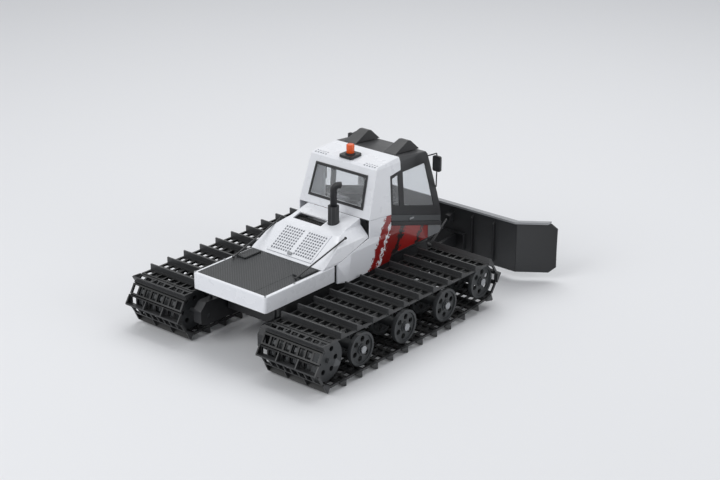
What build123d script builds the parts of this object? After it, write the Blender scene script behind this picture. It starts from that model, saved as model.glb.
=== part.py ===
from build123d import *
import os
from math import sin, cos, asin, atan2, pi, radians, degrees, hypot

os.makedirs("parts", exist_ok=True)

# ---- driving dimensions (mm), +Y is the vehicle's front, +X its right, floor at Z = 0 ----
track_half_outer = 168.7      # centre line to the outer end of the grousers
grouser_length = 99.5
belt_width = 96.0
belt_thickness = 3.0
link_pitch = 15.56            # two links for each grouser
link_gap = 0.4                # flex gap between neighbouring links
drive_teeth = 12
grouser_height = 7.0
window_columns = 8
strip_width = 2.6             # web of belt between two windows
rung_width = 4.4              # bar of belt across the travel

road_wheel_radius = 23.0
idler_radius = 24.0
wheel_play = 0.3              # wheel tread to the belt's inner face
road_wheel_ys = (61.0, 149.0, 237.0)   # ahead of the drive axle
idler_y_start = 325.0
idler_z = 41.0

blade_y = 432.0               # blade's back face ahead of the drive axle
blade_bottom = 12.0
blade_height = 75.0
blade_half = 138.0            # centre plate, to the kink
wing_run = 46.0               # wing, across
wing_lead = 34.0              # wing, forward
blade_thickness = 3.0
lip_depth = 6.0

wall = 2.0                    # moulded body shell
seam = 0.3                    # gap at each seam between fixed pieces
running_clearance = 0.05      # radial, shaft in bore
axle_radius = 3.0

# ---- the loop that the track follows, seen from the right: drive drum, last wheel, idler ----
drum_radius = link_pitch * drive_teeth / (2 * pi)        # to the belt's middle
axle_z = drum_radius + belt_thickness / 2 + grouser_height
tip_radius = axle_z
blade_front = blade_y + blade_thickness + wing_lead
axle_y = (tip_radius - blade_front) / 2                  # puts the origin at mid length
wheel_loop_radius = road_wheel_radius + wheel_play + belt_thickness / 2
wheel_z = axle_z - drum_radius + wheel_loop_radius
idler_loop_radius = idler_radius + wheel_play + belt_thickness / 2
track_x = track_half_outer - grouser_length / 2


def ahead(y):
    """Y in the part's frame of a point y ahead of the drive axle."""
    return axle_y + y


def loop_circles(idler_y):
    return [(0.0, axle_z, drum_radius),
            (road_wheel_ys[-1], wheel_z, wheel_loop_radius),
            (idler_y, idler_z, idler_loop_radius)]


def tangent_angle(a, b):
    """Direction of the outer tangent from circle a to circle b, both kept on its left."""
    dy, dz = b[0] - a[0], b[1] - a[1]
    return atan2(dz, dy) + asin((a[2] - b[2]) / hypot(dy, dz))


def loop_spans(idler_y):
    """Straight and round spans in travel order: (kind, data, length)."""
    circles = loop_circles(idler_y)
    angles = [tangent_angle(circles[i], circles[(i + 1) % 3]) for i in range(3)]
    spans = []
    for i in range(3):
        a, b, angle = circles[i], circles[(i + 1) % 3], angles[i]
        start = (a[0] + a[2] * sin(angle), a[1] - a[2] * cos(angle))
        end = (b[0] + b[2] * sin(angle), b[1] - b[2] * cos(angle))
        spans.append(("line", (start, angle), hypot(end[0] - start[0], end[1] - start[1])))
        turn = (angles[(i + 1) % 3] - angle) % (2 * pi)
        spans.append(("arc", (b, angle), turn * b[2]))
    return spans


def loop_point(spans, distance):
    """Place and heading on the belt's middle line."""
    for kind, data, length in spans:
        if distance <= length:
            break
        distance -= length
    if kind == "line":
        (y, z), angle = data
        return y + distance * cos(angle), z + distance * sin(angle), angle
    (cy, cz, r), angle = data
    angle += distance / r
    return cy + r * sin(angle), cz - r * cos(angle), angle


# the idler slides until the loop holds an even number of whole links
link_count = 2 * round(sum(span[2] for span in loop_spans(idler_y_start)) / link_pitch / 2)
low, high = idler_y_start - 40, idler_y_start + 40
for _ in range(40):
    idler_y = (low + high) / 2
    if sum(span[2] for span in loop_spans(idler_y)) < link_count * link_pitch:
        low = idler_y
    else:
        high = idler_y
spans = loop_spans(idler_y)
# a link stands a quarter turn behind the foot of the drum, so that the drum's teeth find windows
first_link = sum(span[2] for span in spans) - drum_radius * pi / 2


def side_prism(points, low_x, high_x, grow=0.0):
    """Prism across the vehicle; its side view is given ahead of the drive axle."""
    with BuildPart() as prism:
        with BuildSketch(Plane.YZ.offset(low_x)):
            with BuildLine():
                Polyline(*[(ahead(y), z) for y, z in points], close=True)
            make_face()
            if grow:
                offset(amount=grow, kind=Kind.INTERSECTION)
        extrude(amount=high_x - low_x)
    return prism.part


def both_sides(points, half_width, grow=0.0):
    return side_prism(points, -half_width, half_width, grow)


def front_prism(points, low_y, high_y, grow=0.0):
    """Outline in the front view, right half given from the bottom up, mirrored to the left."""
    outline = list(points) + [(-x, z) for x, z in reversed(points)]
    with BuildPart() as prism:
        with BuildSketch(Plane.XZ.offset(-ahead(high_y))):
            with BuildLine():
                Polyline(*outline, close=True)
            make_face()
            if grow:
                offset(amount=grow, kind=Kind.INTERSECTION)
        extrude(amount=high_y - low_y)
    return prism.part


def crossed(side_points, front_points, grow=0.0):
    """Solid that has one outline from the side and the other from the front."""
    side = both_sides(side_points, 90, grow)
    front = front_prism(front_points, -60, 500, grow)
    with BuildPart() as solid:
        add(side)
        add(front, mode=Mode.INTERSECT)
    return solid.part


def box_part(size, centre):
    with BuildPart(Plane(origin=centre)) as block:
        Box(*size)
    return block.part


def save(part, name):
    part.label = name
    export_step(part, f"parts/{name}.step")


def save_group(parts, name):
    """Write several loose pieces as the solids of one node."""
    save(Compound(children=[solid for part in parts for solid in part.solids()]), name)


def rod_between(a, b, radius):
    """Round rod from a to b; Y is given ahead of the drive axle."""
    start = Vector(a[0], ahead(a[1]), a[2])
    end = Vector(b[0], ahead(b[1]), b[2])
    with BuildPart() as rod:
        with BuildSketch(Plane(origin=start, z_dir=end - start)):
            Circle(radius)
        extrude(amount=(end - start).length)
    return rod.part


# ---- tracks: moulded links with windows, every second one with a grouser ----
column = (belt_width - strip_width) / window_columns
link_length = link_pitch - link_gap

with BuildPart() as plain_link:
    Box(link_length, belt_width, belt_thickness)
    with GridLocations(0, column, 1, window_columns):
        Box(link_length - rung_width, column - strip_width, 2 * belt_thickness, mode=Mode.SUBTRACT)

grouser_front = 5.4
gusset_xs = [side * (grouser_length - 2) / 2 for side in (-1, -1 / 3, 1 / 3, 1)]
with BuildPart() as grouser_link:
    add(plain_link.part)
    with Locations((grouser_front - 1.1, 0, belt_thickness / 2 + grouser_height / 2 - 0.2)):
        Box(2.2, grouser_length, grouser_height + 0.4 - 0.01)
    with BuildSketch(*[Plane(origin=(0, x - 1, 0), x_dir=(-1, 0, 0), z_dir=(0, 1, 0)) for x in gusset_xs]):
        with BuildLine():
            Polyline((-grouser_front, 0), (-grouser_front, belt_thickness / 2 + grouser_height),
                     (-grouser_front + 2.2, belt_thickness / 2 + grouser_height),
                     (link_length / 2, belt_thickness / 2), (link_length / 2, 0), close=True)
        make_face()
    extrude(amount=2)

link_planes = []
for k in range(link_count):
    y, z, angle = loop_point(spans, (first_link + k * link_pitch) % (link_count * link_pitch))
    link_planes.append((y, z, angle))

for side, name in ((-1, "track_left"), (1, "track_right")):
    links = []
    for k, (y, z, angle) in enumerate(link_planes):
        plane = Plane(origin=(side * track_x, ahead(y), z), x_dir=(0, cos(angle), sin(angle)),
                      z_dir=(0, sin(angle), -cos(angle)))
        link = grouser_link.part if k % 2 == 0 else plain_link.part
        links.append(plane.location * link.solids()[0])
    save(Compound(children=links), name)

# ---- drive drums: tube, end discs with lightening holes and rows of teeth, clear of the fixed links ----
drum_width = belt_width - 24
drum_tube_radius = drum_radius - belt_thickness / 2 - 3.5
disc_radius = drum_radius - belt_thickness / 2 - wheel_play
tooth_columns = (-2.5, -0.5, 0.5, 2.5)
tooth_angle = 360 / drive_teeth
drums = []
for side in (-1, 1):
    with BuildPart() as drum:
        with BuildSketch(Plane.YZ.offset(side * track_x - drum_width / 2)):
            with Locations((axle_y, axle_z)):
                Circle(drum_tube_radius)
                Circle(drum_tube_radius - 2.5, mode=Mode.SUBTRACT)
        extrude(amount=drum_width)
        for disc_x in (-drum_width / 2 + 2, 0, drum_width / 2 - 2):
            with BuildSketch(Plane.YZ.offset(side * track_x + disc_x - 2)):
                with Locations((axle_y, axle_z)):
                    Circle(disc_radius)
                    with PolarLocations(drum_tube_radius - 9, 6):
                        Circle(3.6, mode=Mode.SUBTRACT)
            extrude(amount=4)
        with BuildSketch(Plane.YZ.offset(side * track_x - drum_width / 2)):
            with Locations((axle_y, axle_z)):
                Circle(6.5)
        extrude(amount=drum_width)
        for tooth_column in tooth_columns:
            with BuildSketch(Plane.YZ.offset(side * track_x + tooth_column * column - 2)):
                for k in range(drive_teeth):
                    turn = radians(k * tooth_angle)
                    middle = (drum_tube_radius - 1 + disc_radius) / 2
                    with Locations(Location((axle_y + middle * cos(turn), axle_z + middle * sin(turn)),
                                            degrees(turn))):
                        Rectangle(disc_radius - drum_tube_radius + 1, 5.5)
            extrude(amount=4)
        with BuildSketch(Plane.YZ.offset(side * track_x)):
            with Locations((axle_y, axle_z)):
                Circle(axle_radius + running_clearance)
        extrude(amount=drum_width, both=True, mode=Mode.SUBTRACT)
    drums.append(drum.part)

# ---- road wheels and idlers: a hub tube with three pierced discs ----
disc_places = (-drum_width / 2 - 3, 0, drum_width / 2 + 3)


def wheel(side, y, z, radius, name):
    with BuildPart() as body:
        with BuildSketch(Plane.YZ.offset(side * track_x - disc_places[2] - 3)):
            with Locations((ahead(y), z)):
                Circle(7)
        extrude(amount=2 * disc_places[2] + 6)
        for disc_x in disc_places:
            with BuildSketch(Plane.YZ.offset(side * track_x + disc_x - 3)):
                with Locations((ahead(y), z)):
                    Circle(radius)
                    Circle(radius - 3.5, mode=Mode.SUBTRACT)
            extrude(amount=6)
            with BuildSketch(Plane.YZ.offset(side * track_x + disc_x - 1.2)):
                with Locations((ahead(y), z)):
                    Circle(radius - 3)
                    with PolarLocations(radius * 0.58, 6, start_angle=20):
                        Circle(3.8, mode=Mode.SUBTRACT)
            extrude(amount=2.4)
        with BuildSketch(Plane.YZ.offset(side * track_x)):
            with Locations((ahead(y), z)):
                Circle(axle_radius + running_clearance)
        extrude(amount=belt_width, both=True, mode=Mode.SUBTRACT)
    save(body.part, name)


for side, side_name in ((-1, "left"), (1, "right")):
    for n, y in enumerate(road_wheel_ys, 1):
        wheel(side, y, wheel_z, road_wheel_radius, f"road_wheel_{side_name}_{n}")
    wheel(side, idler_y, idler_z, idler_radius, f"idler_wheel_{side_name}")

# ---- chassis tub: open-topped tray, its floor swept up at the tail, with axle holes ----
tub_half = 50.0
tub_rear, tub_front = 32.0, 344.0
tub_bottom, tub_top = 20.0, 68.0
tail_bottom = 40.0            # underside of the tub's tail
tail_run = 38.0               # length of the swept-up floor
tub_wall = 2.5
tub_corner = 8.0
tub_floor = tub_bottom + tub_wall
switch_x, switch_z = -30.0, 56.0
lift_y, lift_z = 350.0, 34.0
lever_length = 17.0
horn_y = 300.0
axle_places = [(y, wheel_z) for y in road_wheel_ys] + [(idler_y, idler_z)]


def tray_block(top, half_width, corner, grow=0.0):
    """The tub's outline up to top, with its upright corners rounded."""
    block = both_sides([(tub_rear, tail_bottom), (tub_rear + tail_run, tub_bottom), (tub_front, tub_bottom),
                        (tub_front, top), (tub_rear, top)], half_width, grow)
    with BuildPart() as rounded:
        add(block)
        fillet(rounded.edges().filter_by(Axis.Z), corner)
    return rounded.part


tub_block = tray_block(tub_top, tub_half, tub_corner)
tub_cavity = tray_block(tub_top + 10, tub_half - tub_wall, tub_corner - tub_wall, -tub_wall)
with BuildPart() as tub:
    add(tub_block)
    add(tub_cavity, mode=Mode.SUBTRACT)
    with BuildSketch(Plane.YZ):
        with Locations(*[(ahead(y), z) for y, z in axle_places]):
            Circle(axle_radius)
    extrude(amount=tub_half + 5, both=True, mode=Mode.SUBTRACT)
    with Locations((0, ahead(tub_front), lift_z + lever_length)):
        Box(14, 12, 26, mode=Mode.SUBTRACT)
    with Locations((switch_x, ahead(tub_rear), switch_z)):
        Box(9, 8, 6, mode=Mode.SUBTRACT)
save(tub.part, "chassis_tub")

# ---- fixed stub axles in the tub's walls, with spacer sleeves inside and collars outside ----
axle_half = track_x + disc_places[2] + 6
axle_root = tub_half - tub_wall - 2.3     # inner end, riveted just inside the tub's wall
axles = [rod_between((side * axle_root, y, z), (side * axle_half, y, z), axle_radius)
         for y, z in axle_places for side in (-1, 1)]
save(Compound(children=axles), "wheel_axles")


def sleeve(low_x, high_x, y, z):
    with BuildPart() as ring:
        with BuildSketch(Plane.YZ.offset(low_x)):
            with Locations((ahead(y), z)):
                Circle(5)
                Circle(axle_radius, mode=Mode.SUBTRACT)
        extrude(amount=high_x - low_x)
    return ring.part.solids()[0]


sleeves, collars = [], []
wheel_half = disc_places[2] + 3
for y, z in axle_places:
    sleeves.append(sleeve(tub_half, track_x - wheel_half - seam, y, z))
    sleeves.append(sleeve(-track_x + wheel_half + seam, -tub_half, y, z))
    collars.append(sleeve(track_x + wheel_half + seam, axle_half, y, z))
    collars.append(sleeve(-axle_half, -track_x - wheel_half - seam, y, z))
save_group(sleeves + collars, "axle_spacers")

# ---- drive shafts turn with the drums; slim gearboxes hang beside the tub's tail ----
gearbox_inner, gearbox_outer, gearbox_top = tub_half + seam, 64.0, 58.0
gearbox_side = [(-14, 30), (-6, 26), (50, 26), (50, 50), (42, gearbox_top), (-4, gearbox_top), (-14, 48)]
shaft_inner, shaft_outer = gearbox_inner + 0.5, track_x + drum_width / 2 + 4
for side, name, drum_part in ((-1, "drive_drum_left", drums[0]), (1, "drive_drum_right", drums[1])):
    shaft = rod_between((side * shaft_inner, 0, axle_z), (side * shaft_outer, 0, axle_z), axle_radius)
    save_group([drum_part, shaft], name)

motor_radius = 14.0
gearboxes, motors = [], []
for side in (-1, 1):
    case = side_prism(gearbox_side, *sorted((side * gearbox_inner, side * gearbox_outer)))
    with BuildPart() as gearbox:
        add(case)
        fillet(gearbox.edges().filter_by(Axis.X), 3)
        with BuildSketch(Plane.YZ):
            with Locations((axle_y, axle_z)):
                Circle(axle_radius + running_clearance)
        extrude(amount=gearbox_outer + 1, both=True, mode=Mode.SUBTRACT)
    gearboxes.append(gearbox.part)
    motor_z = tub_floor + seam + motor_radius
    motors.append(rod_between((side * 30, 71, motor_z), (side * 30, 109, motor_z), motor_radius))
save_group(gearboxes, "gearboxes")
save_group(motors, "drive_motors")

# ---- battery, speed controller, receiver and the blade servo ----
save(box_part((44, 92, 24), (0, ahead(158), tub_floor + seam + 12)), "battery_pack")
radio_z = tub_floor + seam + 7
save_group([box_part((30, 34, 14), (-28, ahead(236), radio_z)),
            box_part((24, 34, 14), (28, ahead(236), radio_z))], "speed_control_and_receiver")

with BuildPart() as servo:
    with BuildSketch(Plane.YZ.offset(5)):
        with Locations((ahead(horn_y + 6), lift_z)):
            Rectangle(40, 2 * (lift_z - tub_floor - seam))
    extrude(amount=34)
    with BuildSketch(Plane.YZ.offset(5)):
        with Locations((ahead(horn_y), lift_z)):
            Circle(axle_radius + running_clearance)
    extrude(amount=8, mode=Mode.SUBTRACT)
save(servo.part, "blade_servo")


def two_bore_arm(x, thickness, pin_top, name, shaft_to=None, pivot=(0, 0)):
    """Lever with a pivot at its foot and a link pin at its head."""
    with BuildPart() as arm:
        with BuildSketch(Plane.YZ.offset(x)):
            with Locations((ahead(pivot[0]), pivot[1])):
                Circle(5)
            with Locations((ahead(pivot[0]), pivot[1] + lever_length / 2)):
                Rectangle(6, lever_length)
            with Locations((ahead(pivot[0]), pivot[1] + lever_length)):
                Circle(3.6)
        extrude(amount=thickness)
        with BuildSketch(Plane.YZ.offset(x + thickness)):
            with Locations((ahead(pivot[0]), pivot[1] + lever_length)):
                Circle(1.5)
        extrude(amount=pin_top)
        if shaft_to:
            with BuildSketch(Plane.YZ.offset(x)):
                with Locations((ahead(pivot[0]), pivot[1])):
                    Circle(axle_radius)
            extrude(amount=shaft_to)
    return arm.part


save(two_bore_arm(-4.5, 3, 3.4, "servo_horn", 15, (horn_y, lift_z)), "servo_horn")

link_start, link_end = (horn_y, lift_z + lever_length), (lift_y, lift_z + lever_length)
with BuildPart() as lift_link:
    with BuildSketch(Plane.YZ.offset(-1.3)):
        with Locations((ahead((link_start[0] + link_end[0]) / 2), link_start[1])):
            SlotCenterToCenter(link_end[0] - link_start[0], 7)
        with Locations((ahead(link_start[0]), link_start[1])):
            Circle(1.5 + 0.3, mode=Mode.SUBTRACT)
        with Locations((ahead(link_end[0]), link_end[1])):
            Circle(1.5 + running_clearance, mode=Mode.SUBTRACT)
    extrude(amount=2.6)
save(lift_link.part, "lift_link")

# ---- blade carrier: two arms, a cross tube, the lever and the pivot shaft ----
arm_x = 34.0
arm_heel = 4.0                # behind and about the shaft, short of the tub's nose at every angle
carrier_front = blade_y - 6
with BuildPart() as carrier:
    for side in (-1, 1):
        with BuildSketch(Plane.YZ.offset(side * arm_x - 2.5)):
            with BuildLine():
                Polyline((ahead(lift_y - arm_heel), lift_z - arm_heel), (ahead(lift_y + 6), lift_z - 6),
                         (ahead(carrier_front), lift_z - 8), (ahead(carrier_front), lift_z + 12),
                         (ahead(lift_y + 6), lift_z + 6),
                         (ahead(lift_y - arm_heel), lift_z + arm_heel), close=True)
            make_face()
        extrude(amount=5)
    with BuildSketch(Plane.YZ.offset(-arm_x)):
        with Locations((ahead(lift_y + 38), lift_z)):
            Circle(5)
    extrude(amount=2 * arm_x)
    with BuildSketch(Plane.YZ.offset(-arm_x - 8)):
        with Locations((ahead(lift_y), lift_z)):
            Circle(axle_radius)
    extrude(amount=2 * arm_x + 16)
    with BuildSketch(Plane.XZ.offset(-ahead(carrier_front + 6 - seam))):
        with Locations((0, lift_z + 2)):
            Rectangle(2 * arm_x + 30, 24)
    extrude(amount=6)
    add(two_bore_arm(-4.5, 3, 3.4, "lever", None, (lift_y, lift_z)))
save(carrier.part, "blade_carrier")

# ---- pivot ears on the tub's nose hold the carrier's shaft ----
ears = []
for side in (-1, 1):
    with BuildPart() as ear:
        with BuildSketch(Plane.YZ.offset(side * (arm_x + 6) - 2)):
            with BuildLine():
                Polyline((ahead(tub_front), lift_z - 9), (ahead(lift_y + 3), lift_z - 7),
                         (ahead(lift_y + 6), lift_z), (ahead(lift_y + 3), lift_z + 7),
                         (ahead(tub_front), lift_z + 12), close=True)
            make_face()
            with Locations((ahead(lift_y), lift_z)):
                Circle(axle_radius + running_clearance, mode=Mode.SUBTRACT)
        extrude(amount=4)
    ears.append(ear.part.solids()[0])
save(Compound(children=ears), "pivot_ears")

# ---- blade: curved centre plate with two wings led forward, lip and back ribs ----
blade_top = blade_bottom + blade_height
blade_bow = 1.2               # hollow of the front face


def blade_plate(x, run, lead):
    """Blade plate from x, carried sideways by run and forward by lead, with a hollow front face."""
    middle = (blade_bottom + blade_top) / 2
    back, front = ahead(blade_y), ahead(blade_y + blade_thickness)
    with BuildPart() as plate:
        with BuildSketch(Plane.YZ.offset(x)):
            with BuildLine():
                Line((back, blade_bottom), (back, blade_top))
                Line((back, blade_top), (front, blade_top))
                ThreePointArc((front, blade_top), (front - blade_bow, middle), (front, blade_bottom))
                Line((front, blade_bottom), (back, blade_bottom))
            make_face()
        extrude(amount=hypot(run, lead), dir=(run, lead, 0))
    return plate.part


save(blade_plate(-blade_half + seam, 2 * (blade_half - seam), 0), "blade_centre")

corner_cut = 8.0
blade_end = blade_half + wing_run
wing_outline = [(blade_end - corner_cut, blade_bottom), (blade_end, blade_bottom + corner_cut),
                (blade_end, blade_top - corner_cut), (blade_end - corner_cut, blade_top)]
wing_limit = front_prism(wing_outline, blade_y - 20, blade_front + 20)
wings = []
for side in (-1, 1):
    plate = blade_plate(side * blade_half, side * wing_run, wing_lead)
    with BuildPart() as wing:
        add(plate)
        add(wing_limit, mode=Mode.INTERSECT)
    wings.append(wing.part)
save_group(wings, "blade_wings")

lip_thickness = 3.0
with BuildPart() as lip:
    with BuildSketch(Plane.XY.offset(blade_top + seam)):
        with BuildLine():
            reach = blade_end - corner_cut
            lead = wing_lead * (wing_run - corner_cut) / wing_run
            Polyline((-reach, ahead(blade_y + lead - lip_depth)), (-blade_half, ahead(blade_y - lip_depth)),
                     (blade_half, ahead(blade_y - lip_depth)), (reach, ahead(blade_y + lead - lip_depth)),
                     (reach, ahead(blade_y + lead + blade_thickness)),
                     (blade_half, ahead(blade_y + blade_thickness)),
                     (-blade_half, ahead(blade_y + blade_thickness)),
                     (-reach, ahead(blade_y + lead + blade_thickness)), close=True)
        make_face()
    extrude(amount=lip_thickness)
save(lip.part, "blade_lip")

ribs = []
for x in (-100, -62, 62, 100):
    ribs.append(side_prism([(blade_y - seam, blade_bottom + 6), (blade_y - seam, blade_top - 6),
                            (blade_y - 5, blade_top - 10), (blade_y - 5, blade_bottom + 10)],
                           x - 1.5, x + 1.5).solids()[0])
for x in (-24, 24):
    ribs.append(side_prism([(blade_y - seam, 62), (blade_y - seam, 78), (blade_y - 12, 74),
                            (blade_y - 12, 66)], x - 4, x + 4).solids()[0])
save(Compound(children=ribs), "blade_ribs_and_brackets")
rams = []
for x in (-24, 24):
    foot = (x, blade_y - 50, lift_z + 8)
    head = (x, blade_y - 13.4, 68)
    rams.append(rod_between(foot, head, 2.0).solids()[0])
save(Compound(children=rams), "blade_rams")

# ---- body: outlines shared by the moulded shells, as (ahead of the drive axle, height) ----
deck_half = 63.9
deck_rear, deck_front = -13.0, 123.0
deck_top, deck_bottom = 101.0, 78.7
deck_rim = 4.0
cab_rear, cab_base = 193.5, 142.5
window_line = 240.0           # the white shell ends here, the dark cab front begins
roof_split = 264.0
belt_drop = 0.29              # fall of the waist line towards the nose
nose_y = 351.0


def waist(y, drop=0.0):
    """Height of the waist line on the cab's side, lowered by drop."""
    return 137.5 - (y - window_line) * belt_drop - drop


shell_front_view = [(64, 55), (63.5, 108), (62.6, 142), (58.0, 206), (54.0, 216)]
hood_front_view = [(64, 55), (63.5, 104), (60.5, 121), (47, 134), (45, 160)]
white_cab_side = [(cab_rear, cab_base), (213.5, 206.5), (217, 209.5), (roof_split, 212.5),
                  (roof_split, 194.5), (window_line + 1, 191.5), (window_line, waist(window_line))]
dark_cab_side = [(window_line, waist(window_line)), (window_line + 1, 191.5), (roof_split, 194.5),
                 (roof_split, 212.5), (320, 206.5), (324, 202), (346, 128), (nose_y, waist(nose_y))]


def hollow(side_points, front_points, shell_wall=wall):
    """Moulded shell: a crossed solid less the same solid shrunk by the wall."""
    outer = crossed(side_points, front_points, -seam / 2)
    inner = crossed(side_points, front_points, -seam / 2 - shell_wall)
    return outer, inner


# rear deck: a shallow box, open below, with a tread plate let into its top
deck_length = deck_front - deck_rear
deck_middle = ahead((deck_front + deck_rear) / 2)
with BuildPart() as deck_shell:
    with BuildSketch(Plane.XY.offset(deck_bottom)):
        with Locations((0, deck_middle)):
            RectangleRounded(2 * deck_half, deck_length, 4)
    extrude(amount=deck_top - deck_bottom)
    fillet(deck_shell.faces().sort_by(Axis.Z)[-1].edges(), 1.8)
    with BuildSketch(Plane.XY.offset(deck_bottom)):
        with Locations((0, deck_middle)):
            RectangleRounded(2 * (deck_half - wall), deck_length - 2 * wall, 3)
    extrude(amount=deck_top - deck_bottom - 2 * wall, mode=Mode.SUBTRACT)
    with BuildSketch(Plane.XY.offset(deck_top)):
        with Locations((0, deck_middle)):
            Rectangle(2 * (deck_half - deck_rim), deck_length - 2 * deck_rim)
    extrude(amount=-1.6, mode=Mode.SUBTRACT)
save(deck_shell.part, "deck_shell")

tread_front = deck_front - deck_rim - 22
tread_thickness = 1.6
tread_clear_half = 40.0       # half width that stays clear between the step pads
margin_drop = 0.2             # the plate's side margins lie a little lower
with BuildPart() as tread:
    tread_length = tread_front - deck_rear - deck_rim - seam
    tread_middle = ahead((tread_front + deck_rear + deck_rim) / 2)
    with BuildSketch(Plane.XY.offset(deck_top - tread_thickness)):
        with Locations((0, tread_middle)):
            Rectangle(2 * (deck_half - deck_rim - seam), tread_length)
    extrude(amount=tread_thickness)
    with Locations(*[(side * deck_half, tread_middle, deck_top) for side in (-1, 1)]):
        Box(2 * (deck_half - tread_clear_half), tread_length + 1, 2 * margin_drop, mode=Mode.SUBTRACT)
save(tread.part, "deck_tread")

pads = []
for side in (-1, 1):
    with BuildPart() as pad:
        with BuildSketch(Plane.XY.offset(deck_top + seam)):
            with Locations((side * 50, ahead(78))):
                RectangleRounded(17, 32, 1.5)
        extrude(amount=2.2)
        chamfer(pad.faces().sort_by(Axis.Z)[-1].edges(), 0.6)
    pads.append(pad.part.solids()[0])
save(Compound(children=pads), "deck_step_pads")

# hood: slopes up from the deck to the cab and carries the grille and the exhaust
grille_rear, grille_front = 101.5, 144.0
grille_half = 39.5
hood_side = [(97, deck_top + seam), (146, 131), (cab_rear, cab_base), (cab_rear, 118),
             (126, deck_top + seam)]
hood_outer, hood_inner = hollow(hood_side, hood_front_view)
slope = atan2(131 - deck_top, 146 - 97)
hood_plane = Plane(origin=(0, ahead(97), deck_top), x_dir=(1, 0, 0), z_dir=(0, -sin(slope), cos(slope)))
grille_length = (grille_front - grille_rear) / cos(slope)
grille_middle = ((grille_rear + grille_front) / 2 - 97) / cos(slope)
with BuildPart() as hood:
    add(hood_outer)
    add(hood_inner, mode=Mode.SUBTRACT)
    with BuildSketch(hood_plane.offset(-7)):
        with Locations((0, grille_middle)):
            Rectangle(2 * grille_half, grille_length)
    extrude(amount=15, mode=Mode.SUBTRACT)
    with BuildSketch(Plane.XY.offset(110)):
        with Locations((-15, ahead(163))):
            Rectangle(50, 16)
        with Locations((19.6, ahead(170))):
            Circle(8.2)
    extrude(amount=50, mode=Mode.SUBTRACT)
save(hood.part, "hood_shell")

slot_columns, slot_rows = 16, 9
with BuildPart() as grille:
    with BuildSketch(hood_plane.offset(-wall)):
        with Locations((0, grille_middle)):
            Rectangle(2 * (grille_half - seam), grille_length - 2 * seam)
    extrude(amount=wall + 1.0)
    with BuildSketch(hood_plane.offset(-wall)):
        for half in (-1, 1):
            with Locations((half * grille_half / 2, grille_middle)):
                with GridLocations(4.2, 4.6, slot_columns // 2, slot_rows):
                    RectangleRounded(2.7, 3.1, 0.6)
    extrude(amount=wall + 1.0, mode=Mode.SUBTRACT)
save(grille.part, "hood_grille")

with BuildPart() as screen:
    with BuildSketch(hood_plane.offset(-wall - 2.5)):
        with Locations((0, grille_middle)):
            Rectangle(2 * (grille_half - 1), grille_length - 2)
    extrude(amount=2.5 - seam)

with BuildPart() as latch:
    with BuildSketch(hood_plane.offset(1.0)):
        with Locations((0, grille_middle - grille_length / 2 + 4)):
            RectangleRounded(7, 4, 1)
    extrude(amount=2)

with BuildPart() as vent:
    with BuildSketch(Plane.XY.offset(126)):
        with Locations((-15, ahead(163))):
            Rectangle(50 - 2 * seam, 16 - 2 * seam)
    extrude(amount=5)
    with BuildSketch(Plane.XY.offset(128)):
        with Locations((-15, ahead(163))):
            with GridLocations(3.6, 3.6, 13, 4):
                Rectangle(2.4, 2.4)
    extrude(amount=3, mode=Mode.SUBTRACT)
save_group([screen.part, vent.part], "hood_screens")

# exhaust: a silencer barrel through the hood, a thinner pipe and a turned-out end
stack_x, stack_y, stack_foot, stack_top = 19.6, 170.0, 124.0, 160.5
bend_radius, pipe_top = 8.0, 190.0
save(rod_between((stack_x, stack_y, stack_foot), (stack_x, stack_y, stack_top), 7.6), "exhaust_silencer")
outlet_turn = 35.0            # outlet swung forward from square to the side
turn_out = Vector(cos(radians(outlet_turn)), sin(radians(outlet_turn)), 0)
bend_axis = Vector(-sin(radians(outlet_turn)), cos(radians(outlet_turn)), 0)
knee = Vector(stack_x, ahead(stack_y), pipe_top - bend_radius)
with BuildPart() as pipe:
    with BuildSketch(Plane.XY.offset(stack_top + seam)):
        with Locations((stack_x, ahead(stack_y))):
            Circle(4.6)
    extrude(amount=pipe_top - bend_radius - stack_top - seam)
    with BuildSketch(Plane(origin=knee, z_dir=(0, 0, 1))):
        Circle(4.6)
    revolve(axis=Axis(knee + turn_out * bend_radius, bend_axis), revolution_arc=90)
    mouth = knee + turn_out * bend_radius + Vector(0, 0, bend_radius)
    with BuildSketch(Plane(origin=mouth, z_dir=turn_out)):
        Circle(4.6)
    extrude(amount=3)
    with BuildSketch(Plane(origin=mouth + turn_out * 3, z_dir=turn_out)):
        Circle(3.6)
    extrude(amount=-5, mode=Mode.SUBTRACT)
save(pipe.part, "exhaust_pipe")

# white cab shell: rear wall, roof back and rear pillars, with the rear window opening
rear_window = [(48.7, 153.1), (45.8, 198.3)]
white_outer, white_inner = hollow(white_cab_side, shell_front_view)
inner_to_front = both_sides([(cab_rear + 10, 120), (cab_rear + 14, 150), (window_line - 8, 186),
                             (roof_split - 8, 200), (roof_split - 8, 208), (roof_split + 5, 208.5),
                             (roof_split + 5, 120)], 55)
rear_opening = front_prism(rear_window, 185, 226, -3.5)
with BuildPart() as cab_shell:
    add(white_outer)
    add(white_inner, mode=Mode.SUBTRACT)
    add(inner_to_front, mode=Mode.SUBTRACT)
    add(rear_opening, mode=Mode.SUBTRACT)
    with BuildSketch(Plane.XY.offset(205)):
        for side in (-1, 1):
            with Locations((side * 43, ahead(219.5))):
                with GridLocations(4.5, 4.5, 5, 2):
                    Rectangle(2.6, 2.6)
    extrude(amount=12, mode=Mode.SUBTRACT)
save(cab_shell.part, "cab_shell")

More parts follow.
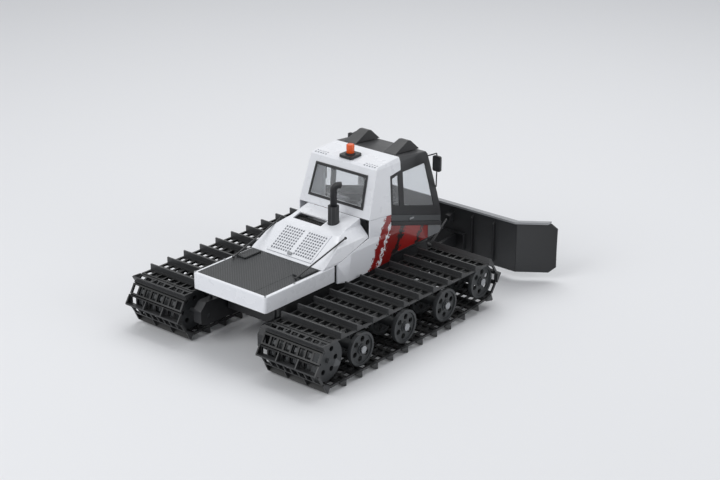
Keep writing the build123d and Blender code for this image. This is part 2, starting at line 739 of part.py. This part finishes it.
frame_outer = front_prism(rear_window, 185, 226)
frame_inner = front_prism(rear_window, 185, 226, -3.8)
rear_slab = [(cab_rear - 0.9, cab_base), (212.6, 206.5), (213.3, 206.5), (cab_rear - 0.2, cab_base)]
rear_skin = both_sides([(y - 0.3, z) for y, z in rear_slab], 60)
with BuildPart() as rear_frame:
    add(rear_skin)
    add(frame_outer, mode=Mode.INTERSECT)
    add(frame_inner, mode=Mode.SUBTRACT)
save(rear_frame.part, "rear_window_frame")

pane_skin = both_sides([(cab_rear + 0.4, cab_base), (213.9, 206.5), (215.2, 206.5),
                        (cab_rear + 1.7, cab_base)], 60)
pane_limit = front_prism(rear_window, 185, 226, -3.8)
with BuildPart() as rear_pane:
    add(pane_skin)
    add(pane_limit, mode=Mode.INTERSECT)

# dark cab front: roof front, door frames, front pillars
dark_outer, dark_inner = hollow(dark_cab_side, shell_front_view)
quarter_opening = [(window_line + 4, 150.5), (window_line + 5, 187), (258, 189.5), (258, 145.5)]
door_opening = [(268, 143), (268, 190.5), (317, 190.5), (333, 128), (333, 124.5)]
openings = [both_sides(points, 90) for points in (quarter_opening, door_opening)]
windshield_opening = front_prism([(53.5, 133), (50.5, 195)], 300, 365)
open_floor = both_sides([(window_line - 5, 160), (window_line + 12, 165), (nose_y - 16, 124),
                         (nose_y - 10, 90), (window_line - 5, 110)], 57)
with BuildPart() as cab_front:
    add(dark_outer)
    add(dark_inner, mode=Mode.SUBTRACT)
    for opening in openings:
        add(opening, mode=Mode.SUBTRACT)
    add(windshield_opening, mode=Mode.SUBTRACT)
    add(open_floor, mode=Mode.SUBTRACT)
    add(both_sides([(window_line - 5, 150), (window_line - 5, 186), (roof_split - 10, 200),
                    (roof_split - 10, 208), (roof_split + 8, 208), (roof_split + 8, 170)], 55),
        mode=Mode.SUBTRACT)
save(cab_front.part, "cab_front")

# clear panes: thin skins of the same outline, cut to their openings
skin_outer = crossed(dark_cab_side, shell_front_view, -seam / 2 - 0.5)
skin_inner = crossed(dark_cab_side, shell_front_view, -seam / 2 - 1.5)
side_limits = [both_sides(points, 90, -seam) for points in (quarter_opening, door_opening)]
panes = []
for side in (-1, 1):
    half_space = box_part((60, 600, 400), (side * 62, 0, 200))
    for limit in side_limits:
        with BuildPart() as pane:
            add(skin_outer)
            add(skin_inner, mode=Mode.SUBTRACT)
            add(limit, mode=Mode.INTERSECT)
            add(half_space, mode=Mode.INTERSECT)
        panes.append(pane.part)
save_group(panes, "side_windows")
with BuildPart() as windshield:
    add(skin_outer)
    add(skin_inner, mode=Mode.SUBTRACT)
    add(front_prism([(53.5, 133), (50.5, 195)], 300, 365, -seam), mode=Mode.INTERSECT)
save_group([windshield.part, rear_pane.part], "windshield_and_rear_window")

# roof fairings over the dark roof, beacon on the white roof
fairing_side = [(268, 212.0), (299, 223.5), (305, 222.5), (320, 208)]
fairing_x = 35.0
fairings = []
for side in (-1, 1):
    fairing = side_prism(fairing_side, side * fairing_x - 15, side * fairing_x + 15)
    with BuildPart() as taper:
        with BuildSketch(Plane.XZ.offset(-ahead(330))):
            with BuildLine():
                Polyline(*[(side * fairing_x + x, z)
                           for x, z in ((-12, 205), (-7.5, 225), (7.5, 225), (12, 205))], close=True)
            make_face()
        extrude(amount=80)
        add(fairing, mode=Mode.INTERSECT)
        add(dark_outer, mode=Mode.SUBTRACT)
    fairings.append(taper.part.solids().sort_by(SortBy.VOLUME)[-1])
save(Compound(children=fairings), "roof_fairings")

beacon_y = 228.0
beacon_foot = 210.6
with BuildPart() as beacon_base:
    with BuildSketch(Plane.XY.offset(beacon_foot)):
        with Locations((0, ahead(beacon_y))):
            RectangleRounded(22, 24, 3)
    extrude(amount=3.6)
    with BuildSketch(Plane.XY.offset(beacon_foot + 3.6)):
        with Locations((0, ahead(beacon_y))):
            Circle(7)
    extrude(amount=1.6)
    add(white_outer, mode=Mode.SUBTRACT)
save(beacon_base.part, "beacon_base")
with BuildPart() as beacon_lens:
    with BuildSketch(Plane.XY.offset(beacon_foot + 5.2 + 0.1)):
        with Locations((0, ahead(beacon_y))):
            Circle(5.6)
    extrude(amount=12)
    fillet(beacon_lens.faces().sort_by(Axis.Z)[-1].edges(), 2)
save(beacon_lens.part, "beacon_lens")

# waist: door bottoms, sills, handles
door_band = [(window_line, waist(window_line, seam)), (nose_y, waist(nose_y, seam)),
             (nose_y, waist(nose_y, 9)), (window_line, waist(window_line, 9))]
sill_band = [(window_line, waist(window_line, 9 + seam)), (nose_y, waist(nose_y, 9 + seam)),
             (nose_y, waist(nose_y, 15)), (window_line, waist(window_line, 15))]
door_face, sill_face, band_back = 62.9, 64.6, 58.0
save_group([side_prism(door_band, band_back, door_face), side_prism(door_band, -door_face, -band_back)],
           "door_bottoms")
save_group([side_prism(sill_band, band_back, sill_face), side_prism(sill_band, -sill_face, -band_back)],
           "sills")
handles = [box_part((1.6, 9, 2.2), (side * 64.0, ahead(283), waist(283, 4.5))) for side in (-1, 1)]
save_group(handles + [latch.part], "handles_and_latch")

# lower body: flanks and floor line under the waist, open to the tub below
body_side = [(126, 74), (126, deck_top), (cab_rear, 117.5), (cab_rear, cab_base - seam),
             (window_line - seam, waist(window_line)), (window_line - seam, waist(window_line, 15 + seam)),
             (nose_y - 30, waist(nose_y - 30, 15 + seam)), (nose_y - 30, 80), (240, 80), (235, 71),
             (148, 69)]
body_outer = crossed(body_side, shell_front_view, -seam / 2)
with BuildPart() as flanks:
    add(body_outer)
    add(both_sides(body_side, 61.4, 6), mode=Mode.SUBTRACT)
flank_pair = flanks.part.solids().sort_by(SortBy.VOLUME)[-2:]
save_group([Part(solid.wrapped) for solid in flank_pair], "body_flanks")

nose_side = [(nose_y - 30 + seam, 80), (nose_y - 30 + seam, waist(nose_y - 30, 15 + seam)),
             (nose_y, waist(nose_y, 15 + seam)), (nose_y, 84), (nose_y - 4, 80)]
nose_outer = crossed(nose_side, shell_front_view, -seam / 2)
with BuildPart() as nose:
    add(nose_outer)
    add(both_sides([(300, 82.5), (300, 120), (nose_y - 2.5, 120), (nose_y - 2.5, 82.5)], 60),
        mode=Mode.SUBTRACT)
save(nose.part, "nose_panel")

# floor plate carries the body on the tub: fixed to the posts, with the cab seats on it
floor_z = 76.0
with BuildPart() as floor:
    with BuildSketch(Plane.XY.offset(floor_z)):
        with Locations((0, ahead(232))):
            Rectangle(2 * 61.0, 210)
    extrude(amount=2.4)
save(floor.part, "floor_plate")
deck_underside = deck_top - 2 * wall
post_places = ((57, 12, gearbox_top, deck_underside, 2.2), (44, 112, tub_floor, deck_underside, 3),
               (44, 200, tub_floor, floor_z, 3), (44, 306, tub_floor, floor_z, 3))
posts = [rod_between((side * x, y, foot), (side * x, y, top - seam), radius).solids()[0]
         for x, y, foot, top, radius in post_places for side in (-1, 1)]
save(Compound(children=posts), "body_posts")

seat_foot = floor_z + 2.4 + seam
seats = []
for x in (-27, 27):
    seats.append(side_prism([(232, seat_foot), (272, seat_foot), (274, 104), (246, 102), (238, 146),
                             (230, 146), (228, 100)], x - 17, x + 17).solids()[0])
save(Compound(children=seats), "cab_seats")
dash = side_prism([(322, 82.8), (336, 82.8), (336, 104), (318, 120), (306, 112)], -50, 50)
save_group([dash, rod_between((-27, 308.5, 116.7), (-27, 301.8, 121.1), 7)], "dashboard_and_wheel")

# gas struts from the hood's flanks to the deck, with their end eyes
struts = []
for side in (-1, 1):
    with BuildPart() as strut:
        foot = (side * 55, 54, deck_top + 2.2)
        head = (side * 57.5, 150, 129.8)
        add(rod_between(foot, head, 1.1))
        with Locations((foot[0], ahead(foot[1]), foot[2]), (head[0], ahead(head[1]), head[2])):
            Sphere(2.0)
    struts.append(strut.part.solids()[0])
save(Compound(children=struts), "hood_struts")

# mirrors: bent wire arms from the front pillars and flat heads
mirrors = []
for side in (-1, 1):
    points = [(side * 60.4, 322, 200), (side * 72, 326, 205), (side * 76, 322, 202)]
    lower = [(side * 76, 322, 182), (side * 63.4, 338, 151)]
    with BuildPart() as mirror:
        for a, b in zip(points[:-1] + lower[:-1], points[1:] + lower[1:]):
            add(rod_between(a, b, 0.9))
        with Locations((points[1][0], ahead(points[1][1]), points[1][2])):
            Sphere(0.9)
        with BuildSketch(Plane(origin=(side * 76, ahead(320.5), 192), x_dir=(1, 0, 0), z_dir=(0, 1, 0))):
            RectangleRounded(13, 22, 2.5)
        extrude(amount=3.5)
    mirrors.append(mirror.part)
save_group(mirrors, "mirrors")

# power switch on the tub's rear wall
with BuildPart() as switch_body:
    with BuildSketch(Plane.XZ.offset(-ahead(tub_rear + tub_wall + seam))):
        with Locations((switch_x, switch_z)):
            Rectangle(16, 8)
    extrude(amount=-4.6)
save(switch_body.part, "power_switch")
slider_y = ahead(tub_rear + tub_wall + seam - 3.1)
save(box_part((3.6, 6, 3.6), (switch_x - 1.6, slider_y, switch_z)), "switch_slider")

# screws: one into each deck corner and each flank foot
screws = []
for y in (deck_rear + 2.2, 44):
    for side in (-1, 1):
        screws.append(rod_between((side * (deck_half - 2.2), y, deck_top + 0.05),
                                  (side * (deck_half - 2.2), y, deck_top + 0.9), 1.3).solids()[0])
save(Compound(children=screws), "deck_screws")

headlamps = [rod_between((side * 44, nose_y + 0.2, 93), (side * 44, nose_y + 2.2, 93), 6).solids()[0]
             for side in (-1, 1)]
save(Compound(children=headlamps), "headlamps")
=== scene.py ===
import math
import bpy
from mathutils import Matrix, Vector

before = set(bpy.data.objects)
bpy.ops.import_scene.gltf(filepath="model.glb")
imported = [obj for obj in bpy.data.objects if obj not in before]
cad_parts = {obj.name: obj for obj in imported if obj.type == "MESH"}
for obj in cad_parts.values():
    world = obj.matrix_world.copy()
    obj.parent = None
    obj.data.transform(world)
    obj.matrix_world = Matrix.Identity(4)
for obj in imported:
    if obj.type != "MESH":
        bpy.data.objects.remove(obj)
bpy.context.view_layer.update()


# Camera: a studio view from behind and to the right, above the deck.
# It stands about two metres off, so the tracks stay nearly parallel.
def aim(thing, place, target, roll=0.0):
    forward = (target - place).normalized()
    right = forward.cross(Vector((0, 0, 1))).normalized()
    up = right.cross(forward)
    turn = Matrix.Rotation(math.radians(roll), 3, -forward)
    right, up = turn @ right, turn @ up
    thing.matrix_world = Matrix.Translation(place) @ Matrix((right, up, -forward)).transposed().to_4x4()


camera_data = bpy.data.cameras.new("studio_camera")
camera_data.lens = 82.3
camera_data.sensor_width = 36.0
camera = bpy.data.objects.new("studio_camera", camera_data)
bpy.context.scene.collection.objects.link(camera)
aim(camera, Vector((1.3531, -1.5996, 0.9429)), Vector((0.0056, 0.0272, 0.0850)), roll=0.31)
bpy.context.scene.camera = camera
bpy.context.scene.view_settings.view_transform = "Standard"


# Studio floor: seamless pale paper, lit evenly, that takes a soft contact shadow.
def hex_linear(code):
    """sRGB hex such as "E9EAEE" to linear RGBA."""
    parts = [int(code[i:i + 2], 16) / 255 for i in (0, 2, 4)]
    return tuple(c / 12.92 if c <= 0.04045 else ((c + 0.055) / 1.055) ** 2.4 for c in parts) + (1.0,)


def add_node(material, kind, settings=None, links=None):
    """Adds one shader node, sets its sockets or properties, and links sources to its inputs."""
    node = material.node_tree.nodes.new(kind)
    for key, value in (settings or {}).items():
        if isinstance(key, int) or key in node.inputs:
            node.inputs[key].default_value = value
        else:
            setattr(node, key, value)
    for socket, source in (links or {}).items():
        material.node_tree.links.new(source, node.inputs[socket])
    return node


def new_material(name):
    material = bpy.data.materials.new(name)
    material.use_nodes = True
    material.node_tree.nodes.clear()
    return material


def close_material(material, shader):
    add_node(material, "ShaderNodeOutputMaterial", links={"Surface": shader.outputs[0]})
    return material


def studio_paper():
    paper = new_material("studio_paper")
    place = add_node(paper, "ShaderNodeTexCoord")
    fibre = add_node(paper, "ShaderNodeTexNoise", {"Scale": 900.0, "Detail": 3.0},
                     {"Vector": place.outputs["Object"]})
    tone = add_node(paper, "ShaderNodeMix", {"data_type": "RGBA", 6: hex_linear("E1E2E4"), 7: hex_linear("E8E9EB")},
                    {0: fibre.outputs["Fac"]})
    sheet = add_node(paper, "ShaderNodeBsdfPrincipled", {"Roughness": 0.9, "Specular IOR Level": 0.15},
                     {"Base Color": tone.outputs[2]})
    return close_material(paper, sheet)


bpy.ops.mesh.primitive_plane_add(size=12, location=(0, 0, 0))
floor = bpy.context.object
floor.name = "studio_floor"
floor.data.materials.append(studio_paper())

world = bpy.data.worlds.new("studio_world")
bpy.context.scene.world = world
world.use_nodes = True
world.node_tree.nodes.clear()
seen = add_node(world, "ShaderNodeLightPath")
straight = add_node(world, "ShaderNodeMath", {"operation": "MAXIMUM"},
                    {0: seen.outputs["Is Camera Ray"], 1: seen.outputs["Is Transmission Ray"]})
mirrored = add_node(world, "ShaderNodeMath", {"operation": "MAXIMUM"},
                    {0: straight.outputs[0], 1: seen.outputs["Is Glossy Ray"]})
room = add_node(world, "ShaderNodeBackground", {"Color": hex_linear("E8EAEE"), "Strength": 0.5})
wall_light = add_node(world, "ShaderNodeBackground", {"Color": hex_linear("E3E4E5"), "Strength": 1.0})
either = add_node(world, "ShaderNodeMixShader", links={0: mirrored.outputs[0], 1: room.outputs[0],
                                                        2: wall_light.outputs[0]})
add_node(world, "ShaderNodeOutputWorld", links={"Surface": either.outputs[0]})


def softbox(name, place, size, power):
    light = bpy.data.lights.new(name, "AREA")
    light.shape = "RECTANGLE"
    light.size, light.size_y = size
    light.energy = power
    lamp = bpy.data.objects.new(name, light)
    bpy.context.scene.collection.objects.link(lamp)
    aim(lamp, Vector(place), Vector((0, 0, 0.1)))


softbox("overhead_softbox", (-0.3, 0.9, 2.2), (2.2, 1.6), 26)
softbox("rear_softbox", (-0.5, -2.0, 1.7), (1.8, 1.2), 26)
softbox("right_fill", (2.2, 0.3, 1.0), (1.2, 1.0), 9)


# White body shells: deck, hood, cab and flanks, vacuum-smooth ABS with a clear gloss coat.
# Painted and lacquered, so the eye sees a soft orange peel and a clean highlight.
MM = 0.001


def moulded_plastic(name, dark, light, roughness, grain_mm, grain_depth, coat=0.0, dust=0.0):
    """Moulded or lacquered plastic: two close shades, an uneven gloss and a fine skin."""
    plastic = new_material(name)
    place = add_node(plastic, "ShaderNodeTexCoord")
    cloud = add_node(plastic, "ShaderNodeTexNoise", {"Scale": 1 / (22 * MM), "Detail": 3.0},
                     {"Vector": place.outputs["Object"]})
    grain = add_node(plastic, "ShaderNodeTexNoise", {"Scale": 1 / (grain_mm * MM), "Detail": 2.0},
                     {"Vector": place.outputs["Object"]})
    shade = add_node(plastic, "ShaderNodeMix", {"data_type": "RGBA", 6: hex_linear(dark), 7: hex_linear(light)},
                     {0: cloud.outputs["Fac"]})
    gloss = add_node(plastic, "ShaderNodeMapRange", {"From Min": 0.3, "From Max": 0.7, "To Min": roughness - 0.05,
                                                     "To Max": roughness + 0.07}, {"Value": cloud.outputs["Fac"]})
    skin = add_node(plastic, "ShaderNodeBump", {"Strength": grain_depth, "Distance": 0.1 * MM},
                    {"Height": grain.outputs["Fac"]})
    colour = shade.outputs[2]
    if dust:
        bevelled = add_node(plastic, "ShaderNodeNewGeometry")
        worn = add_node(plastic, "ShaderNodeMapRange", {"From Min": 0.53, "From Max": 0.62, "To Max": dust},
                        {"Value": bevelled.outputs["Pointiness"]})
        pale = add_node(plastic, "ShaderNodeMix", {"data_type": "RGBA", 7: hex_linear("8A8C8F")},
                        {0: worn.outputs[0], 6: colour})
        colour = pale.outputs[2]
    shader = add_node(plastic, "ShaderNodeBsdfPrincipled", {"Coat Weight": coat, "Coat Roughness": 0.08, "IOR": 1.5},
                      {"Base Color": colour, "Roughness": gloss.outputs[0], "Normal": skin.outputs[0]})
    return close_material(plastic, shader)


def dress(material, *names):
    """Gives CAD nodes a finish and a small moulded radius on their sharp edges."""
    for name in names:
        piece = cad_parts[name]
        piece.data.materials.clear()
        piece.data.materials.append(material)
        weld = piece.modifiers.new("weld", "WELD")
        weld.merge_threshold = 0.002 * MM
        edge = piece.modifiers.new("edge_radius", "BEVEL")
        edge.width = 0.35 * MM
        edge.segments = 2
        edge.angle_limit = math.radians(40)
        edge.use_clamp_overlap = True
        edge.harden_normals = False


white_lacquer = moulded_plastic("white_lacquered_abs", "E4E6EB", "EAECF0", 0.28, 1.6, 0.05, coat=0.6)
dress(white_lacquer, "deck_shell", "hood_shell", "cab_shell", "hood_grille")


# Body flanks: the same white shell, printed with plain red and black bands towards the nose.
# The print breaks up into specks at its edges, as a rough film transfer does.
def banded_lacquer():
    film = new_material("white_abs_with_red_and_black_bands")
    place = add_node(film, "ShaderNodeTexCoord")
    axes = add_node(film, "ShaderNodeSeparateXYZ", links={"Vector": place.outputs["Object"]})
    slant = add_node(film, "ShaderNodeMath", {"operation": "MULTIPLY_ADD", 1: -0.55},
                     {0: axes.outputs["Z"], 2: axes.outputs["Y"]})
    speck = add_node(film, "ShaderNodeTexNoise", {"Scale": 1 / (5 * MM), "Detail": 5.0, "Roughness": 0.7},
                     {"Vector": place.outputs["Object"]})
    ragged = add_node(film, "ShaderNodeMath", {"operation": "MULTIPLY_ADD", 1: 0.034},
                      {0: speck.outputs["Fac"], 2: slant.outputs[0]})
    bands = add_node(film, "ShaderNodeValToRGB", links={
        0: add_node(film, "ShaderNodeMapRange", {"From Min": -0.095, "From Max": 0.085},
                    {"Value": ragged.outputs[0]}).outputs[0]})
    ramp = bands.color_ramp
    ramp.interpolation = "CONSTANT"
    stops = [(0.0, "E7E9EE"), (0.27, "8A1512"), (0.36, "E7E9EE"), (0.39, "7C120E"), (0.52, "141414"),
             (0.58, "941814"), (0.80, "181818"), (0.84, "86120E")]
    ramp.elements[0].color = hex_linear(stops[0][1])
    ramp.elements[1].position = stops[1][0]
    ramp.elements[1].color = hex_linear(stops[1][1])
    for position, code in stops[2:]:
        ramp.elements.new(position).color = hex_linear(code)
    peel = add_node(film, "ShaderNodeTexNoise", {"Scale": 1 / (1.6 * MM)}, {"Vector": place.outputs["Object"]})
    skin = add_node(film, "ShaderNodeBump", {"Strength": 0.05, "Distance": 0.1 * MM},
                    {"Height": peel.outputs["Fac"]})
    shader = add_node(film, "ShaderNodeBsdfPrincipled", {"Roughness": 0.3, "Coat Weight": 0.5, "IOR": 1.5},
                      {"Base Color": bands.outputs["Color"], "Normal": skin.outputs[0]})
    return close_material(film, shader)


dress(banded_lacquer(), "body_flanks")


# Black moulded parts: cab front, fairings, sills, window rubber, mirrors, exhaust, struts.
# Injection-moulded nylon with a satin skin, slightly paler where edges rub.
black_nylon = moulded_plastic("black_satin_nylon", "151618", "1D1E21", 0.42, 0.9, 0.18, dust=0.15)
dress(black_nylon, "cab_front", "roof_fairings", "sills", "rear_window_frame", "mirrors",
      "exhaust_silencer", "exhaust_pipe", "hood_struts", "hood_screens", "beacon_base", "chassis_tub",
      "pivot_ears", "body_posts", "floor_plate", "blade_carrier", "blade_ribs_and_brackets", "blade_rams",
      "lift_link", "servo_horn", "power_switch", "switch_slider", "gearboxes", "blade_servo",
      "speed_control_and_receiver", "dashboard_and_wheel")

door_grey = moulded_plastic("dark_grey_door_plastic", "3E4143", "4A4D4F", 0.45, 0.9, 0.15, dust=0.1)
dress(door_grey, "door_bottoms")


# Tracks: moulded links of filled nylon, with windows and upright grousers.
# The skin is dull and slightly scuffed on its raised edges.
track_nylon = moulded_plastic("track_filled_nylon", "050506", "0C0D0E", 0.42, 0.7, 0.3, dust=0.12)
dress(track_nylon, "track_left", "track_right")


# Drive drums, road wheels and idlers: spoked discs in a dark grey glass-filled nylon.
wheel_nylon = moulded_plastic("wheel_glass_filled_nylon", "26282A", "323537", 0.48, 0.8, 0.25, dust=0.3)
dress(wheel_nylon, "drive_drum_left", "drive_drum_right",
      *[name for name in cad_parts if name.startswith(("road_wheel", "idler_wheel"))])


# Axles, spacers, screws and motor cans: turned and plated steel.
# Fine turning marks run round each rod and stretch the highlight.
def turned_steel():
    steel = new_material("turned_plated_steel")
    place = add_node(steel, "ShaderNodeTexCoord")
    marks = add_node(steel, "ShaderNodeTexWave", {"Scale": 1 / (0.8 * MM) / 6.3, "Distortion": 1.0},
                     {"Vector": place.outputs["Object"]})
    cloud = add_node(steel, "ShaderNodeTexNoise", {"Scale": 1 / (6 * MM)}, {"Vector": place.outputs["Object"]})
    shade = add_node(steel, "ShaderNodeMix", {"data_type": "RGBA", 6: hex_linear("8B8D90"), 7: hex_linear("B0B2B5")},
                     {0: cloud.outputs["Fac"]})
    skin = add_node(steel, "ShaderNodeBump", {"Strength": 0.1, "Distance": 0.05 * MM}, {"Height": marks.outputs["Fac"]})
    shader = add_node(steel, "ShaderNodeBsdfPrincipled", {"Metallic": 1.0, "Roughness": 0.32},
                      {"Base Color": shade.outputs[2], "Normal": skin.outputs[0]})
    return close_material(steel, shader)


dress(turned_steel(), "wheel_axles", "axle_spacers", "deck_screws", "drive_motors")


# Grey pieces: nose panel, seats, handles and the blade's folded top lip, all moulded.
# A satin mid-grey plastic, with a paler copy on the lip and handles: a painted highlight where the lip catches the
# light along the blade.
grey_satin = moulded_plastic("grey_satin_plastic", "6E7073", "7C7E81", 0.4, 0.9, 0.15)
dress(grey_satin, "nose_panel", "cab_seats")
# Paler copy of the satin grey: a painted highlight, used on the blade lip and the handles.
painted_highlight_grey = moulded_plastic("grey_plastic_painted_highlight", "8D8F92", "9B9DA0", 0.38, 0.9, 0.12)
dress(painted_highlight_grey, "blade_lip", "handles_and_latch")


# Blade: moulded centre plate and two wings, black and satin, with a hollow front face.
# Its broad back shows a soft highlight and a slight skin, a little paler on its edges.
blade_black = moulded_plastic("blade_black_satin", "101113", "17181A", 0.36, 1.1, 0.15, dust=0.2)
dress(blade_black, "blade_centre", "blade_wings")


# Deck tread: dark grey moulded plate with a small raised diamond pattern.
# The diamonds stand on a 3 mm pitch and read as a fine weave from above.
def tread_plate():
    plate = new_material("tread_moulded_plastic")
    place = add_node(plate, "ShaderNodeTexCoord")
    pitch = 3 * MM
    waves = []
    for turn in (45, -45):
        turned = add_node(plate, "ShaderNodeMapping", {"Rotation": (0, 0, math.radians(turn))},
                          {"Vector": place.outputs["Object"]})
        waves.append(add_node(plate, "ShaderNodeTexWave", {"Scale": 2 * math.pi / (20 * pitch)},
                              {"Vector": turned.outputs[0]}))
    lozenge = add_node(plate, "ShaderNodeMath", {"operation": "MULTIPLY"},
                       {0: waves[0].outputs["Fac"], 1: waves[1].outputs["Fac"]})
    shade = add_node(plate, "ShaderNodeMix", {"data_type": "RGBA", 6: hex_linear("1B1D1F"), 7: hex_linear("383B3E")},
                     {0: lozenge.outputs[0]})
    skin = add_node(plate, "ShaderNodeBump", {"Strength": 0.6, "Distance": 0.4 * MM}, {"Height": lozenge.outputs[0]})
    shader = add_node(plate, "ShaderNodeBsdfPrincipled", {"Roughness": 0.5, "IOR": 1.5},
                      {"Base Color": shade.outputs[2], "Normal": skin.outputs[0]})
    return close_material(plate, shader)


tread_material = tread_plate()
dress(tread_material, "deck_tread", "deck_step_pads")


# Glazing: clear polycarbonate panes, formed to the cab and set into their openings.
# Thin and faintly grey, with a slight haze, so that the seats show through.
def clear_pane():
    pane = new_material("clear_polycarbonate")
    place = add_node(pane, "ShaderNodeTexCoord")
    haze = add_node(pane, "ShaderNodeTexNoise", {"Scale": 1 / (12 * MM)}, {"Vector": place.outputs["Object"]})
    rough = add_node(pane, "ShaderNodeMapRange", {"To Min": 0.02, "To Max": 0.06}, {"Value": haze.outputs["Fac"]})
    clear = add_node(pane, "ShaderNodeBsdfPrincipled", {"Base Color": hex_linear("F4F6F8"), "IOR": 1.05,
                                                        "Transmission Weight": 0.88},
                     {"Roughness": rough.outputs[0]})
    pane.surface_render_method = "BLENDED"
    return close_material(pane, clear)


glass = clear_pane()
dress(glass, "windshield_and_rear_window", "side_windows")


# Beacon lens and headlamps: tinted and clear acrylic with moulded flutes.
def fluted_lens(name, colour, flute_mm):
    lens = new_material(name)
    place = add_node(lens, "ShaderNodeTexCoord")
    flutes = add_node(lens, "ShaderNodeTexWave", {"Scale": 1 / (flute_mm * MM) / 3.2},
                      {"Vector": place.outputs["Object"]})
    skin = add_node(lens, "ShaderNodeBump", {"Strength": 0.3, "Distance": 0.3 * MM}, {"Height": flutes.outputs["Fac"]})
    tint = add_node(lens, "ShaderNodeMix", {"data_type": "RGBA", 6: hex_linear(colour), 7: hex_linear("FFA060")},
                    {0: add_node(lens, "ShaderNodeMath", {"operation": "MULTIPLY", 1: 0.25},
                                 {0: flutes.outputs["Fac"]}).outputs[0]})
    shader = add_node(lens, "ShaderNodeBsdfPrincipled", {"Roughness": 0.15, "Transmission Weight": 0.25, "IOR": 1.49},
                      {"Base Color": tint.outputs[2], "Normal": skin.outputs[0]})
    return close_material(lens, shader)


dress(fluted_lens("amber_acrylic", "F0560C", 1.6), "beacon_lens")
dress(fluted_lens("clear_lamp_acrylic", "D8DADD", 1.2), "headlamps")


# Battery: a pack of cells in plain blue shrink wrap, lying on the tub's floor.
# The heat-shrunk film is glossy and slightly rippled.
dress(moulded_plastic("blue_shrink_wrap", "173B7A", "1E4890", 0.3, 2.0, 0.2), "battery_pack")
